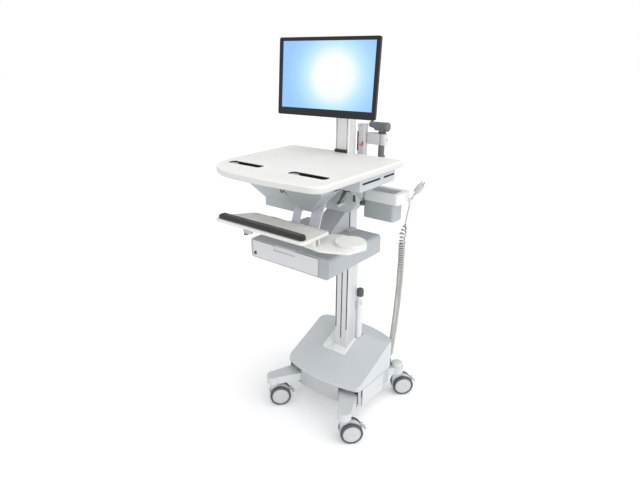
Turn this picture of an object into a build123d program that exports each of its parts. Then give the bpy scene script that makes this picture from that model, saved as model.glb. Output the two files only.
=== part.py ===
"""Height-adjustable medication cart with a display, keyboard tray, drawer and storage bin.

Millimetres. X runs to the right, Y to the back and Z up; the cart's front faces -Y.
Everything is modelled about the column: x = 0 is the column's middle, y = 0 lies between
the front and rear casters and z = 0 is the floor. Each part is moved as it is written, so that the row's
origin is the floor point under the middle of the cart's outer box.
"""

from build123d import *
from math import atan2, cos, degrees, pi, radians, sin, sqrt, tan
import os

# ------------------------------------------------------------------ driving dimensions
ORIGIN_X = 31.8            # middle of the outer box, left to right
ORIGIN_Y = -121.2          # middle of the outer box, front to back

# casters
WHEEL_R = 50.0             # 100 mm twin-wheel casters
TYRE_WIDTH = 18.0
TYRE_GAP = 13.0            # from the caster's middle plane to each tyre
HUB_R = 39.9
AXLE_R = 5.0
FENDER_R = 48.0            # the fender stands between the two tyres
FENDER_HALF = 12.0
TRAIL = 30.0               # from the stem to the axle
CASTER_TURN = 46.0         # degrees each caster is turned at rest
PEDAL_REACH = 55.0         # from the axle to the brake pedal's pin
PEDAL_ANGLE = 27.0
PEDAL_DROOP = 48.0
PEDAL_PIN_R = 3.5
PEDAL_EYE_R = 6.5
PEDAL_LUG_HALF = 5.8       # half the width of the housing's lug between the pedal's eyes
STEM_X = 205.0
STEM_Y = {-1: 226.0, 1: 218.0}     # front and rear, from y = 0
STEM_R = 8.0
STEM_TOP = 140.0
BOSS_R = 31.0              # rounded end of each leg
LEG_ROOT = (88.0, 188.0)   # the two sides of a leg where it leaves the chassis
LEG_BOTTOM = 118.0
CASTER_CLEAR = 114.0       # the casters swivel freely below this height
LEG_TOP = 156.0
LEG_RECESS = 22.0          # open height over each leg in the skirt
RUNNING = 0.05             # radial clearance of a running fit

# base
COVER_HALF = 205.0
COVER_FRONT = -117.0
COVER_BOW = 33.0           # how far the front bulges past its corners
COVER_BACK = 165.0
COVER_BACK_BOW = 44.0
COVER_CORNERS = (26.0, 40.0)   # plan radii of the front and back corners
COVER_BOTTOM = 184.0
COVER_LOW = 207.0          # height of the sloping top at COVER_FRONT
COVER_RIDGE_Y = 132.0
COVER_RIDGE = 316.0
COVER_REAR_EDGE = 321.0    # behind the ridge the top is almost level
COVER_WALL = 3.0
COVER_ROUND = 2.0
SKIRT_BOTTOM = 102.0
PAN_BOTTOM = 84.0
SOCKET = 96.0              # the column's square seat on the chassis
DOOR_FRONT, DOOR_BACK = -84.0, 92.0
PLATE_X_MID, PLATE_Y_MID = -18.0, 44.0     # middle of the plate at the column's foot

# column
COLUMN = 75.0              # outer column, square
COLUMN_Y = 64.5
COLUMN_WALL = 4.0
COLUMN_BOTTOM = 165.0
COLUMN_TOP = 700.0
COLUMN_SLOTS = {-29.0: 368.0, 0.0: 319.0, 29.0: 368.0}   # middle of each slot: its lower end
SLOT_WIDTH = 6.0
INNER = 58.0               # inner column, square
INNER_WALL = 3.0
INNER_BOTTOM = 520.0
CAP = 6.0                  # plate that closes the inner column
CYLINDER_R, PISTON_R = 14.0, 5.0
ROD_BOTTOM = 560.0
FRAME_TOP = 1120.0
DUCT = (44.0, 115.0)       # the rear cable duct's middle

# yoke under the worktop
YOKE_LOW, YOKE_HIGH = 966.0, 1078.0
YOKE_HALF = 107.0
YOKE_FRONT, YOKE_BACK = -34.0, 24.0

# worktop
TOP_HALF = 284.6
TOP_BACK = 24.0
TOP_FRONT = -515.0         # front of the straight sides, were the corners square
TOP_BOW = 24.0             # how far the front bulges past them
TOP_LEFT_R = 190.0         # the left front corner is cut back much further than the right
TOP_RIGHT_R = 52.0
TOP_BACK_R = 24.0
TOP_Z = 1207.0
TOP_THICK = 26.0
SLOT_X = 150.0             # middle of each hand slot
SLOT_Y = -404.0
SLOT_LONG = 164.0
SLOT_DEEP = 38.0
LEVER_LONG = 34.0
LEVER_PIN_R = 2.0

# electronics bay and tub under the worktop
BAY_HALF, BAY_FRONT, BAY_BACK = 242.0, -225.0, 22.0
TUB_LEFT, TUB_RIGHT = -240.0, -62.0
TUB_BACK = -38.0

# drawer
DRAWER_HALF = 198.0
DRAWER_FRONT_Y = -345.0
DRAWER_BACK_Y = 12.0
DRAWER_LOW = 806.0
DRAWER_HIGH = 888.0
DRAWER_WALL = 2.5
DRAWER_ROUND = 12.0
OPENING_LEFT = -184.0      # the drawer front's own sides
OPENING_RIGHT = 150.0
HANGER_HALF = 48.0
LOCK_X, LOCK_Z, LOCK_R = -170.0, 829.0, 7.0

# keyboard and mouse trays
TRAY_HALF = 216.0
TRAY_FRONT = -517.0
TRAY_BACK = -364.5
TRAY_Z = 1010.0
TRAY_THICK = 12.0
TRAY_CUT = (-146.0, -462.0)    # ends of the slanting cut across the left back corner
HINGE_Y = -362.0
HINGE_Z = 1001.0
HINGE_R, KNUCKLE_R = 4.0, 7.5
ARM_THICK = 6.0
ARM_SPANS = [(-58.0, -20.0), (30.0, 80.0)]     # the two arms, left to right
PALM_Y, PALM_HALF = -494.0, 207.0
MOUSE_Z = 972.0
MOUSE_LEFT, MOUSE_RIGHT = 150.0, 350.0
MOUSE_FRONT, MOUSE_BACK = -455.0, -275.0
MOUSE_TRAVEL = 70.0
MOUSE_PAD = (285.0, -339.0)
MOUSE_PAD_R = 55.0

# mast and display
MAST_HALF, MAST_FRONT, MAST_BACK = 34.0, 0.0, 54.0
MAST_TOP = 1560.0
PAN_Y, PAN_R = -24.0, 6.0
TILT_Y, TILT_R = -43.0, 4.0
PIVOT_R = 9.0
PLATE_HALF = 58.0
PLATE_CENTRE = (-4.0, -56.0, 1523.0)
PAN = 5.2
TILT = 4.3
SHELL_CENTRE = (-12.0, 1500.5)     # x and z
SCREEN_W, SCREEN_H = 436.0, 289.0
SCREEN_THICK = 34.0
BEZEL_DEPTH = 12.0
BACK_TAPER = 45.0          # degrees by which the shell narrows behind the bezel
VIEW_W, VIEW_H, VIEW_UP = 405.0, 247.0, 7.6

# rear handle
CLAMP_Y = (84.0, 114.0)
RISER = (129.0, 97.0)      # x and y of the riser's axis
GRIP_Z = 1311.0

# power cord
GLAND_X, GLAND_Y, GLAND_Z = 166.0, 211.0, 165.0
GLAND_WALL_Y = 176.0       # outer face of the skirt's back at GLAND_X
GLAND_TOP = 178.0
CORD_D = 7.0
COIL_D = 30.0
PLUG_NECK = 24.0           # length of the strain relief
PLUG_BODY = 36.0
PLUG_PRONG = 17.0
COIL_ROUTE = [
    (166.0, 211.0, 196.0), (168.0, 210.5, 222.0), (192.0, 190.0, 371.0), (219.0, 160.0, 586.0),
    (232.0, 138.0, 730.0), (240.0, 118.0, 857.0), (250.0, 113.0, 903.0),
]
LEAD_ROUTE = [
    (250.0, 113.0, 903.0), (256.2, 109.9, 931.5), (262.5, 104.5, 961.0), (270.0, 99.0, 989.0),
    (276.5, 96.0, 1016.0), (281.0, 95.0, 1036.0), (291.0, 95.0, 1052.0),
]

# storage bin
BIN_LEFT, BIN_RIGHT = 110.0, 253.0
BIN_FRONT, BIN_BACK = 7.0, 80.0
RIM_BACK = 104.0
BIN_LOW, BIN_SPLIT, BIN_HIGH = 950.0, 1025.0, 1069.0
BIN_WALL = 3.0
CLIP_R, CLIP_BORE_R, CLIP_LONG = 8.5, 5.5, 24.0    # sleeve that holds the cord on the bin's rim

os.makedirs("parts", exist_ok=True)


# ------------------------------------------------------------------ helpers
def save(name, *solids):
    """Writes one node's solids, moved from the column's frame to the row's."""
    node = Compound(children=[Pos(-ORIGIN_X, -ORIGIN_Y, 0) * s for s in solids])
    export_step(node, f"parts/{name}.step")


def block(x, y, z):
    """A box from three (low, high) pairs."""
    size = (x[1] - x[0], y[1] - y[0], z[1] - z[0])
    return Pos(sum(x) / 2, sum(y) / 2, sum(z) / 2) * Box(*size)


def soft_block(x, y, z, radius):
    """A box with its upright edges rounded."""
    solid = block(x, y, z)
    return fillet(solid.edges().filter_by(Axis.Z), radius)


def upright(face, low, high):
    """Extrudes a face drawn on XY between two heights."""
    return Pos(0, 0, low) * extrude(face, high - low, dir=(0, 0, 1))


def side_profile(points, left, right):
    """Extrudes a closed outline of (y, z) points from x = left to x = right."""
    face = Plane.YZ * make_face(Polyline(*points, close=True))
    return Pos(left, 0, 0) * extrude(face, right - left, dir=(1, 0, 0))


def front_profile(points, front, back):
    """Extrudes a closed outline of (x, z) points from y = front to y = back."""
    face = Plane.XZ * make_face(Polyline(*points, close=True))
    return Pos(0, front, 0) * extrude(face, back - front, dir=(0, 1, 0))


def rod(start, end, radius):
    """A round bar between two points."""
    start, end = Vector(*start), Vector(*end)
    plane = Plane(start, z_dir=end - start)
    return plane * Cylinder(radius, (end - start).length, align=(Align.CENTER, Align.CENTER, Align.MIN))


def bent_strip(points, thickness, left, right):
    """A flat bar bent through (y, z) points, from x = left to x = right."""
    solid = None
    middle = (left + right) / 2
    width = right - left
    for (y0, z0), (y1, z1) in zip(points, points[1:]):
        length = sqrt((y1 - y0) ** 2 + (z1 - z0) ** 2)
        turn = degrees(atan2(z1 - z0, y1 - y0))
        bar = Pos(middle, (y0 + y1) / 2, (z0 + z1) / 2) * Rot(turn, 0, 0) * Box(width, length, thickness)
        solid = bar if solid is None else solid + bar
    for y, z in points[1:-1]:
        solid += Pos(middle, y, z) * Rot(0, 90, 0) * Cylinder(thickness / 2, width)
    return solid


def square_tube(size, wall, corner, low, high):
    """A square hollow section around the column's axis."""
    outer = fillet(Rectangle(size, size).vertices(), corner)
    inner = fillet(Rectangle(size - 2 * wall, size - 2 * wall).vertices(), corner - wall / 2)
    return Pos(0, COLUMN_Y, 0) * upright(outer - inner, low, high)


# ------------------------------------------------------------------ casters
def caster_place(sign_x, sign_y):
    return Pos(sign_x * STEM_X, sign_y * STEM_Y[sign_y], 0) * Rot(0, 0, CASTER_TURN)


def wheel_disc(radius, width, middle_y):
    """A disc on the axle, in the caster's own frame: stem at x = 0, axle along Y."""
    return Pos(TRAIL, middle_y, WHEEL_R) * Rot(90, 0, 0) * Cylinder(radius, width)


def make_tyre(side):
    middle = side * (TYRE_GAP + TYRE_WIDTH / 2)
    disc = wheel_disc(WHEEL_R, TYRE_WIDTH, middle)
    rims = disc.edges().filter_by(GeomType.CIRCLE)
    disc = fillet(rims, 6)
    return disc - wheel_disc(HUB_R + 0.1, TYRE_WIDTH + 2, middle)


def make_hubs():
    hubs = wheel_disc(AXLE_R, 2 * (TYRE_GAP + TYRE_WIDTH) - 4, 0)
    for side in (-1, 1):
        middle = side * (TYRE_GAP + TYRE_WIDTH / 2)
        disc = wheel_disc(HUB_R, TYRE_WIDTH - 2, middle)
        disc = fillet(disc.edges().filter_by(GeomType.CIRCLE), 1.5)
        hubs += disc
    return hubs


PEDAL_X = TRAIL + PEDAL_REACH * cos(radians(PEDAL_ANGLE))
PEDAL_Z = WHEEL_R + PEDAL_REACH * sin(radians(PEDAL_ANGLE))


def pedal_disc(radius, width):
    """A disc on the pedal's pin, in the caster's frame."""
    return Pos(PEDAL_X, 0, PEDAL_Z) * Rot(90, 0, 0) * Cylinder(radius, width)


def outer_cheeks(solid, inner, outer):
    """The two stretches of a solid between inner and outer, each side of the middle plane."""
    reach = (-200, 200)
    return solid & (block(reach, (-outer, -inner), reach) + block(reach, (inner, outer), reach))


def make_housing():
    """A fender between the tyres, with a neck around the stem and a lug for the pedal."""
    fender = wheel_disc(FENDER_R, 2 * FENDER_HALF, 0)
    fender &= block((-80, 120), (-FENDER_HALF, FENDER_HALF), (30, 120))
    fender = fillet(fender.edges().filter_by(GeomType.CIRCLE), 3)
    neck = Pos(0, 0, 102.5) * Cylinder(17, 17)
    neck += block((0, 30), (-FENDER_HALF, FENDER_HALF), (80, 106))
    neck += block((-17, 0), (-FENDER_HALF, FENDER_HALF), (62, 106))
    stem = Pos(0, 0, (100 + STEM_TOP) / 2) * Cylinder(STEM_R, STEM_TOP - 100)
    lug_middle = TRAIL + 0.8 * (PEDAL_X - TRAIL), WHEEL_R + 0.8 * (PEDAL_Z - WHEEL_R)
    lug = Pos(lug_middle[0], 0, lug_middle[1]) * Rot(0, -PEDAL_ANGLE, 0) * Box(24, 2 * PEDAL_LUG_HALF, 13)
    body = fender + neck + stem + lug + pedal_disc(PEDAL_EYE_R, 2 * PEDAL_LUG_HALF)
    body -= outer_cheeks(pedal_disc(PEDAL_EYE_R + 1, 30), PEDAL_LUG_HALF, 15)
    body -= wheel_disc(AXLE_R + RUNNING, 60, 0)
    return body - pedal_disc(PEDAL_PIN_R + RUNNING, 60)


def make_pedal():
    """A drooping tab on two eyes, one each side of the housing's lug."""
    eye_in, eye_out = PEDAL_LUG_HALF + 0.4, FENDER_HALF - 0.4
    place = Pos(PEDAL_X, 0, PEDAL_Z) * Rot(0, PEDAL_DROOP, 0)
    tab = place * soft_block((8, 25), (-14, 14), (-2, 3), 5)
    arms = outer_cheeks(place * block((0, 12), (-eye_out, eye_out), (-2, 3)), eye_in, eye_out)
    eyes = outer_cheeks(pedal_disc(PEDAL_EYE_R, 2 * eye_out), eye_in, eye_out)
    return pedal_disc(PEDAL_PIN_R, 2 * eye_out) + eyes + arms + tab


caster_housing = make_housing()
caster_pedal = make_pedal()
caster_hubs = make_hubs()
caster_tyres = [make_tyre(-1), make_tyre(1)]
CORNERS = {"fl": (-1, -1), "fr": (1, -1), "rl": (-1, 1), "rr": (1, 1)}
for corner, signs in CORNERS.items():
    place = caster_place(*signs)
    save(f"caster_{corner}_housing", place * caster_housing)
    save(f"caster_{corner}_pedal", place * caster_pedal)
    save(f"caster_{corner}_tyres", *[place * tyre for tyre in caster_tyres])
    save(f"caster_{corner}_hubs", place * caster_hubs)


# ------------------------------------------------------------------ base
def base_outline(inset):
    """The base's plan: straight sides, a bulging front and back, and rounded corners."""
    half = COVER_HALF - inset
    front = COVER_FRONT + inset
    back = COVER_BACK - inset
    edges = Line((-half, front), (-half, back))
    edges += ThreePointArc((-half, back), (0, back + COVER_BACK_BOW), (half, back))
    edges += Line((half, back), (half, front))
    edges += ThreePointArc((half, front), (0, front - COVER_BOW), (-half, front))
    corners = make_face(edges)
    by_depth = corners.vertices().sort_by(Axis.Y)
    corners = fillet(by_depth[:2], COVER_CORNERS[0] - inset / 2)
    by_depth = corners.vertices().sort_by(Axis.Y)
    return fillet(by_depth[-2:], COVER_CORNERS[1] - inset / 2)


def cover_top(y):
    """Height of the cover's sloping top."""
    slope = (COVER_RIDGE - COVER_LOW) / (COVER_RIDGE_Y - COVER_FRONT)
    return COVER_LOW + slope * (y - COVER_FRONT)


def cover_solid(inset):
    front = COVER_FRONT - COVER_BOW - 10
    profile = [
        (front, COVER_BOTTOM - 20),
        (front, cover_top(front) - inset),
        (COVER_RIDGE_Y, COVER_RIDGE - inset),
        (COVER_BACK + COVER_BACK_BOW + 10, COVER_REAR_EDGE - inset),
        (COVER_BACK + COVER_BACK_BOW + 10, COVER_BOTTOM - 20),
    ]
    body = side_profile(profile, -COVER_HALF, COVER_HALF)
    return body & upright(base_outline(inset), COVER_BOTTOM, COVER_RIDGE + 20)


def leg_outline(sign_x, sign_y, margin=0.0):
    """Plan of one leg: a taper from the chassis to a round end over the caster's stem."""
    root_y = 100 if sign_y < 0 else 160
    reach = BOSS_R + margin
    stem_y = STEM_Y[sign_y]
    taper = [
        (LEG_ROOT[0] - margin, root_y),
        (LEG_ROOT[1] + margin, root_y),
        (STEM_X + reach, stem_y),
        (STEM_X - reach, stem_y),
    ]
    face = make_face(Polyline(*taper, close=True)) + Pos(STEM_X, stem_y) * Circle(reach)
    if sign_y < 0:
        face = mirror(face, Plane.XZ)
    if sign_x < 0:
        face = mirror(face, Plane.YZ)
    return face


LEG_SIGNS = list(CORNERS.values())
pan = block((-186, 186), (-98, 122), (PAN_BOTTOM, PAN_BOTTOM + 6))
front_beam = block((-170, 170), (-106, -96), (PAN_BOTTOM, LEG_TOP + 2))
rear_beam = block((-150, 150), (158, 168), (CASTER_CLEAR, LEG_TOP + 2))
socket = Pos(0, COLUMN_Y, 0) * upright(Rectangle(SOCKET, SOCKET), PAN_BOTTOM, COLUMN_BOTTOM)
rails = [block((s * 46 - 5, s * 46 + 5), (-100, 160), (PAN_BOTTOM, LEG_TOP)) for s in (-1, 1)]
base_frame = pan + front_beam + rear_beam + socket + rails[0] + rails[1]
for signs in LEG_SIGNS:
    leg = upright(leg_outline(*signs), LEG_BOTTOM, LEG_TOP)
    stem_place = Pos(signs[0] * STEM_X, signs[1] * STEM_Y[signs[1]], LEG_BOTTOM + 11)
    bore = stem_place * Cylinder(STEM_R + RUNNING, 24)
    base_frame += leg
    base_frame -= bore
save("base_frame", base_frame)

column_hole = Pos(0, COLUMN_Y, 250) * Box(COLUMN + 4, COLUMN + 4, 200)
duct_hole = Pos(*DUCT, 250) * Box(32, 32, 200)
outer_cover = cover_solid(0)


def on_top_rim(edge):
    """Whether an edge of the cover runs round its top, where the walls meet it."""
    middle = edge.center()
    is_ridge = abs(middle.X) < 1 and 0 < middle.Y < COVER_BACK
    return middle.Z > COVER_BOTTOM + 5 and abs((edge % 0.5).Z) < 0.9 and not is_ridge


outer_cover = fillet(outer_cover.edges().filter_by(on_top_rim), COVER_ROUND)
cover = outer_cover - cover_solid(COVER_WALL) - column_hole - duct_hole
save("base_cover", cover)

skirt = upright(base_outline(4) - base_outline(7), SKIRT_BOTTOM, COVER_BOTTOM - 1)
for signs in LEG_SIGNS:
    skirt -= upright(leg_outline(*signs, margin=5), LEG_BOTTOM - 3, LEG_TOP + LEG_RECESS)
    arch = Pos(signs[0] * STEM_X, signs[1] * STEM_Y[signs[1]]) * Circle(68)
    skirt -= upright(arch, SKIRT_BOTTOM - 1, CASTER_CLEAR)
skirt -= block((150, 220), (DOOR_FRONT - 2, DOOR_BACK + 2), (SKIRT_BOTTOM - 5, COVER_BOTTOM))

door = soft_block((199, 206), (DOOR_FRONT, DOOR_BACK), (SKIRT_BOTTOM - 10, COVER_BOTTOM - 2), 3)
save("battery_door", door)
battery = soft_block((62, 194), (-94, 88), (PAN_BOTTOM + 8, 176), 6)
battery -= block((170, 200), (-60, 40), (120, 150))
save("battery_pack", battery)
module = soft_block((-190, -62), (-94, 120), (PAN_BOTTOM + 8, 168), 6)
for k in range(8):
    module -= block((-170, -90), (-84 + 18 * k, -76 + 18 * k), (162, 170))
save("power_module", module)

# a light plate lying on the slope around the column's foot
plate_slope = degrees(atan2(COVER_RIDGE - COVER_LOW, COVER_RIDGE_Y - COVER_FRONT))
plate_place = Pos(PLATE_X_MID, PLATE_Y_MID, cover_top(PLATE_Y_MID) + 0.4) * Rot(plate_slope, 0, 0)
foot_plate = plate_place * upright(fillet(Rectangle(128, 110).vertices(), 9), 0, 5)
foot_plate -= Pos(0, COLUMN_Y, 280) * Box(COLUMN + 0.6, COLUMN + 0.6, 200)
foot_plate -= duct_hole
save("column_foot_plate", *foot_plate.solids())

column = square_tube(COLUMN, COLUMN_WALL, 7, COLUMN_BOTTOM, COLUMN_TOP)
SLOT_END = COLUMN_TOP - 14
front_face = COLUMN_Y - COLUMN / 2
for x, low in COLUMN_SLOTS.items():
    half = SLOT_WIDTH / 2
    column -= block((x - half, x + half), (front_face - 5, front_face + 10), (low, SLOT_END))
save("column_outer", column)

bush_size = COLUMN - 2 * COLUMN_WALL - 0.4
bush_wall = (bush_size - INNER - 0.5) / 2
bush = square_tube(bush_size, bush_wall, 5, COLUMN_TOP - 78, COLUMN_TOP + 0.1)
collar = square_tube(COLUMN, (COLUMN - INNER - 0.5) / 2, 7, COLUMN_TOP + 0.1, COLUMN_TOP + 8)
save("column_guides", bush + collar)

lift_cylinder = Pos(0, COLUMN_Y, 0) * upright(
    Circle(CYLINDER_R) - Circle(PISTON_R + RUNNING), COLUMN_BOTTOM, COLUMN_TOP
)
lift_cylinder += Pos(0, COLUMN_Y, COLUMN_BOTTOM + 5) * Box(60, 60, 10)
save("lift_cylinder", lift_cylinder)

duct = upright(Pos(*DUCT) * Circle(15), 200, 553) - upright(Pos(*DUCT) * Circle(12), 200, 549)
column_back = COLUMN_Y + COLUMN / 2
duct_clip = block((30, 64), (column_back, column_back + 1.2), (480, 500))
save("rear_duct", duct + duct_clip)

# an elbow on the skirt's back turns the power cord upwards
gland = rod((GLAND_X, GLAND_WALL_Y - 8, GLAND_Z), (GLAND_X, GLAND_Y, GLAND_Z), 8)
gland += rod((GLAND_X, GLAND_WALL_Y + 4, GLAND_Z), (GLAND_X, GLAND_WALL_Y + 9, GLAND_Z), 8.7)
gland += rod((GLAND_X, GLAND_Y, GLAND_Z - 8), (GLAND_X, GLAND_Y, GLAND_TOP), 8)
skirt -= rod((GLAND_X, GLAND_WALL_Y - 20, GLAND_Z), (GLAND_X, GLAND_WALL_Y + 20, GLAND_Z), 8.1)
save("base_skirt", *skirt.solids())
save("cord_gland", gland)


# ------------------------------------------------------------------ lift and head frame
inner_column = square_tube(INNER, INNER_WALL, 6, INNER_BOTTOM, FRAME_TOP - 0.5)
inner_column += Pos(0, COLUMN_Y, FRAME_TOP - 0.5 - CAP / 2) * Box(INNER - 2, INNER - 2, CAP)
save("inner_column", inner_column)
save("lift_rod", rod((0, COLUMN_Y, ROD_BOTTOM), (0, COLUMN_Y, FRAME_TOP - 0.6 - CAP), PISTON_R))

yoke_outline = [
    (-YOKE_HALF, 1008), (-70, YOKE_LOW + 4), (-40, YOKE_LOW), (40, YOKE_LOW), (70, YOKE_LOW + 4),
    (YOKE_HALF, 1008), (YOKE_HALF, 1024), (60, YOKE_HIGH), (-60, YOKE_HIGH), (-YOKE_HALF, 1024),
]
yoke = front_profile(yoke_outline, YOKE_FRONT, YOKE_BACK)
shrunk = [(x * 0.9, 1020 + (z - 1020) * 0.86) for x, z in yoke_outline]
yoke -= front_profile(shrunk, YOKE_FRONT + 6, YOKE_BACK + 5)
collar_block = block((-44, 44), (COLUMN_Y - 44, COLUMN_Y + 44), (FRAME_TOP - 60, FRAME_TOP))
top_plate = block((-150, 150), (-180, 110), (FRAME_TOP - 8, FRAME_TOP))
riser_block = block((-60, 60), (-60, COLUMN_Y - 40), (1070, FRAME_TOP - 4))
bin_bracket = block((60, 109), (-8, 52), (1034, FRAME_TOP - 4))
post_seat = block((30, 117), (100, 112), (FRAME_TOP - 8, FRAME_TOP + 40))
head_frame = yoke + collar_block + top_plate + riser_block + bin_bracket + post_seat
head_frame -= Pos(0, COLUMN_Y, 1000) * Box(INNER + 0.2, INNER + 0.2, 400)
save("head_frame", *head_frame.solids())

# ------------------------------------------------------------------ worktop and what hangs from it
def worktop_outline():
    """Straight sides and back, a bowed front, and corners of three sizes."""
    edges = Polyline((TOP_HALF, TOP_FRONT), (TOP_HALF, TOP_BACK),
                     (-TOP_HALF, TOP_BACK), (-TOP_HALF, TOP_FRONT))
    edges += ThreePointArc((-TOP_HALF, TOP_FRONT), (0, TOP_FRONT - TOP_BOW), (TOP_HALF, TOP_FRONT))
    face = make_face(edges)
    face = fillet(face.vertices().sort_by(Axis.Y)[-2:], TOP_BACK_R)
    front = face.vertices().sort_by(Axis.Y)[:2].sort_by(Axis.X)
    face = fillet([front[0]], TOP_LEFT_R)
    right = face.vertices().sort_by(Axis.X)[-2:].sort_by(Axis.Y)[0]
    return fillet([right], TOP_RIGHT_R)


def hand_slot(side, margin, low, high):
    """The space of one hand slot, wider than the slot itself by margin."""
    face = fillet(Rectangle(SLOT_LONG + 2 * margin, SLOT_DEEP + 2 * margin).vertices(), 12 + margin)
    return Pos(side * SLOT_X, SLOT_Y, 0) * upright(face, low, high)


TOP_LOW = TOP_Z - TOP_THICK
worktop = upright(worktop_outline(), TOP_LOW, TOP_Z)
worktop = fillet(worktop.edges().group_by(Axis.Z)[-1] + worktop.edges().group_by(Axis.Z)[0], 10)
for side in (-1, 1):
    worktop -= hand_slot(side, 0, TOP_LOW - 1, TOP_Z + 1)
worktop -= block((-MAST_HALF - 2.5, MAST_HALF + 2.5), (MAST_FRONT - 6.5, 60), (TOP_LOW - 1, TOP_Z + 1))
save("worktop", worktop)

LINER_LOW = TOP_LOW - 3
LEVER_PIVOT_Y = SLOT_Y + 3
LEVER_PIVOT_Z = TOP_Z - 11
liners = []
levers = []
for side in (-1, 1):
    slot_end = side * SLOT_X - SLOT_LONG / 2
    lever_left = slot_end + 4
    lever_right = lever_left + LEVER_LONG
    pin = rod((slot_end + 0.6, LEVER_PIVOT_Y, LEVER_PIVOT_Z), (lever_right + 5, LEVER_PIVOT_Y, LEVER_PIVOT_Z),
              LEVER_PIN_R)
    bore = rod((slot_end, LEVER_PIVOT_Y, LEVER_PIVOT_Z), (lever_right + 9, LEVER_PIVOT_Y, LEVER_PIVOT_Z),
               LEVER_PIN_R + RUNNING)
    liner = hand_slot(side, -0.2, LINER_LOW, TOP_Z - 1) - hand_slot(side, -2.7, LINER_LOW + 3, TOP_Z)
    liner += block((lever_right + 2, lever_right + 6), (SLOT_Y - 5, SLOT_Y + 10),
                   (LINER_LOW, LEVER_PIVOT_Z + 4))
    liners.append(liner - bore)
    paddle = soft_block((lever_left, lever_right), (SLOT_Y - 12, SLOT_Y + 11), (TOP_Z - 8, TOP_Z - 4), 9)
    boss = block((lever_left + 4, lever_right - 4), (LEVER_PIVOT_Y - 4, LEVER_PIVOT_Y + 4),
                 (TOP_Z - 14, TOP_Z - 6))
    levers.append(paddle + boss + pin)
save("grip_liners", *liners)
save("release_levers", *levers)

# a shallow tray for electronics, open at the top where the worktop closes it
BAY_LOW = FRAME_TOP + 1
BAY_HIGH = TOP_LOW - 0.5
bay = block((-BAY_HALF, BAY_HALF), (BAY_FRONT, BAY_BACK), (BAY_LOW, BAY_HIGH))
bay = fillet(bay.edges(), 3.5)
bay -= block((-BAY_HALF + 3, BAY_HALF - 3), (BAY_FRONT + 3, BAY_BACK - 3), (BAY_LOW + 3, BAY_HIGH + 1))
for side in (-1, 1):
    for front, back in ((-208, -87), (-64, 14)):
        bay -= block((side * BAY_HALF - 6, side * BAY_HALF + 6), (front, back), (1146, 1154))
notch = block((-MAST_HALF - 4, MAST_HALF + 4), (MAST_FRONT - 8, BAY_BACK + 1), (BAY_LOW - 1, BAY_HIGH + 1))
notch_wall = block((-MAST_HALF - 7, MAST_HALF + 7), (MAST_FRONT - 11, BAY_BACK), (BAY_LOW, BAY_HIGH))
bay = (bay + notch_wall) - notch
save("tech_bay", bay)

# the deep tub on the left and the funnel-shaped cover over the keyboard arm's root
tub_outline = [
    (TUB_BACK, 986), (-210, 986), (-210, 1021), (-345, 1136), (-345, BAY_HIGH - 2),
    (BAY_FRONT - 2, BAY_HIGH - 2), (BAY_FRONT - 2, 1109), (TUB_BACK, 1109),
]
tub = side_profile(tub_outline, TUB_LEFT, TUB_RIGHT)
tub = fillet(tub.edges(), 2)
tub_inside = [
    (TUB_BACK - 3, 989), (-207, 989), (-207, 1023), (-342, 1138), (-342, BAY_HIGH + 2),
    (BAY_FRONT - 5, BAY_HIGH + 2), (BAY_FRONT - 5, 1106), (TUB_BACK - 3, 1106),
]
tub -= side_profile(tub_inside, TUB_LEFT + 3, TUB_RIGHT - 3)
hood_outline = [(-58, 1150), (-58, 1105), (-22, 1006), (22, 1006), (128, 1105), (128, 1150)]
hood_side = [(-186, 1006), (-232, 1006), (-318, 1128), (-318, 1150), (BAY_FRONT - 2, 1150),
             (BAY_FRONT - 2, 1108), (-186, 1108)]
hood = front_profile(hood_outline, -318, -186) & side_profile(hood_side, -58, 128)
hood_inner = [(-55, 1151), (-55, 1105), (-19, 1010), (19, 1010), (125, 1105), (125, 1151)]
hood_side_inner = [(-189, 1004), (-229, 1004), (-314, 1127), (-314, 1151), (BAY_FRONT - 5, 1151),
                   (BAY_FRONT - 5, 1105), (-189, 1105)]
hood -= front_profile(hood_inner, -316, -180) & side_profile(hood_side_inner, -58, 128)
hood -= block((-70, 140), (-240, -180), (1000, 1013))
ARM_PATH = [(-205, 1120.9), (-205, 1062), (-236, 1003), (-250, 962), (-300, 954), (HINGE_Y + 12, 984),
            (HINGE_Y + 2, 995)]
hood -= bent_strip(ARM_PATH, ARM_THICK + 3, ARM_SPANS[0][0] - 2, ARM_SPANS[1][1] + 2)
save("under_cover", tub, *hood.solids())

# two bent flat arms carry the keyboard tray
arms = None
for left, right in ARM_SPANS:
    strip = bent_strip(ARM_PATH, ARM_THICK, left, right)
    eye = rod((left, HINGE_Y, HINGE_Z), (right, HINGE_Y, HINGE_Z), KNUCKLE_R)
    arms = strip + eye if arms is None else arms + strip + eye
arms += block((ARM_SPANS[0][1] - 1, ARM_SPANS[1][0] + 1), (-208, -202), (1062, 1104))
arms -= rod((-90, HINGE_Y, HINGE_Z), (90, HINGE_Y, HINGE_Z), HINGE_R + RUNNING)
save("tray_arms", *arms.solids())

# ------------------------------------------------------------------ drawer
hanger_side = [(10, DRAWER_HIGH), (-150, DRAWER_HIGH), (-30, YOKE_LOW - 0.1), (10, YOKE_LOW - 0.1)]
hanger_hole = [(6, DRAWER_HIGH + 4), (-138, DRAWER_HIGH + 4), (-27, YOKE_LOW - 5), (6, YOKE_LOW - 5)]
hanger = side_profile(hanger_side, -HANGER_HALF, HANGER_HALF)
hanger -= side_profile(hanger_hole, -HANGER_HALF + 4, HANGER_HALF - 4)
hanger += block((-80, 80), (-40, 10), (DRAWER_HIGH, DRAWER_HIGH + 4))
save("drawer_hanger", hanger)

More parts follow.
